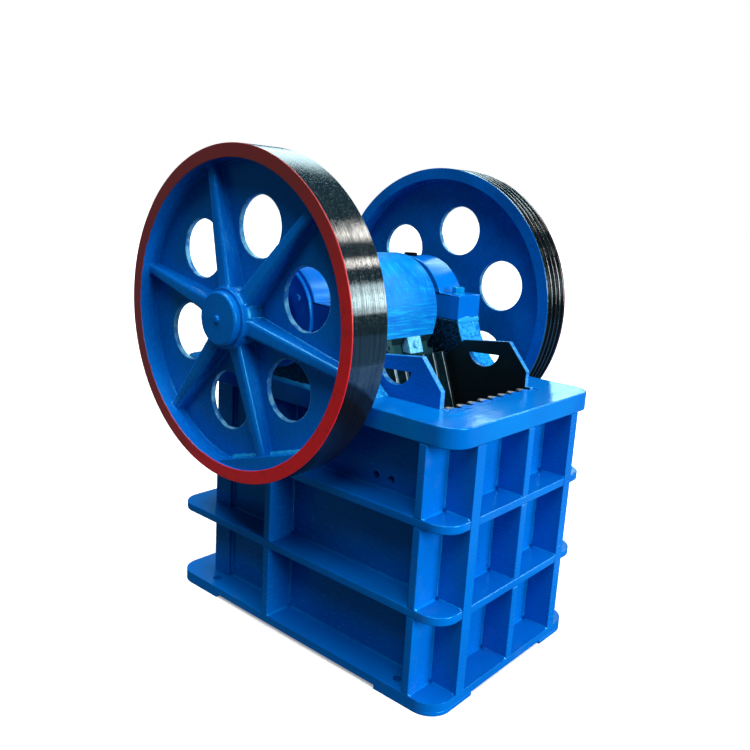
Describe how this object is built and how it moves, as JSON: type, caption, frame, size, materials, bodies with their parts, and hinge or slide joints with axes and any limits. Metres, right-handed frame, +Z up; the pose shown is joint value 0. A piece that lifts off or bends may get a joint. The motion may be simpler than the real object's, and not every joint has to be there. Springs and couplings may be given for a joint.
{
  "type": "jaw crusher",
  "caption": "Single-toggle jaw crusher: ribbed steel frame, toothed jaws, eccentric shaft, spoked flywheel and grooved pulley, swing jaw that crushes stone.",
  "frame": {"origin": "centre of the four anchor bolts, on the floor under the foot pads", "axes": "+X along the shaft from the flywheel to the grooved pulley, +Y from the feed end to the back, +Z up"},
  "size_m": [1.104, 1.183, 1.412],
  "materials": {
    "frame_paint": "glossy bright blue brushed enamel",
    "wheel_paint": "blue enamel with a black rim and a dark red rim face",
    "jaw_steel": "dark cast manganese steel",
    "bare_steel": "oiled steel"
  },
  "bodies": {
    "frame": {"foot_pads": "frame_paint", "base_plate": "frame_paint", "lower_ring": "frame_paint", "upper_ring": "frame_paint", "top_plate": "frame_paint", "left_side_wall": "frame_paint", "right_side_wall": "frame_paint", "front_wall": "frame_paint", "rear_wall": "frame_paint", "front_centre_ribs": "frame_paint", "left_front_ribs": "frame_paint", "right_front_ribs": "frame_paint", "left_middle_ribs": "frame_paint", "right_middle_ribs": "frame_paint", "rear_ribs": "frame_paint", "left_bearing_base": "frame_paint", "right_bearing_base": "frame_paint", "left_bearing_cap": "frame_paint", "right_bearing_cap": "frame_paint", "left_bearing_cover": "frame_paint", "right_bearing_cover": "frame_paint", "left_grease_plug": "bare_steel", "right_grease_plug": "bare_steel", "fixed_jaw_plate": "jaw_steel", "jaw_ledge": "frame_paint", "left_cheek_plate": "frame_paint", "right_cheek_plate": "frame_paint", "toggle_block": "frame_paint", "toggle_plate": "frame_paint", "tension_rod": "bare_steel", "spring_washers": "bare_steel", "tension_spring": "bare_steel", "tension_nut": "bare_steel"},
    "rotor": {"eccentric_shaft": "bare_steel", "flywheel": "wheel_paint", "flywheel_cap": "wheel_paint", "flywheel_weight": "wheel_paint", "pulley": "wheel_paint", "pulley_cap": "wheel_paint", "pulley_weight": "wheel_paint"},
    "swing_jaw": {"swing_jaw": "frame_paint", "moving_jaw_plate": "jaw_steel", "jaw_clamps": "frame_paint"}
  },
  "joints": [
    {"name": "shaft_spin", "type": "hinge", "parent": "frame", "child": "rotor", "pos_m": [0, 0.108, 0.962], "axis": [1, 0, 0], "continuous": true},
    {"name": "jaw_swing", "type": "hinge", "parent": "rotor", "child": "swing_jaw", "pos_m": [0, 0.10905, 0.95205], "axis": [1, 0, 0], "continuous": true}
  ],
  "couplings": [
    {"joint": "jaw_swing", "follows": "shaft_spin", "ratio": -1}
  ]
}
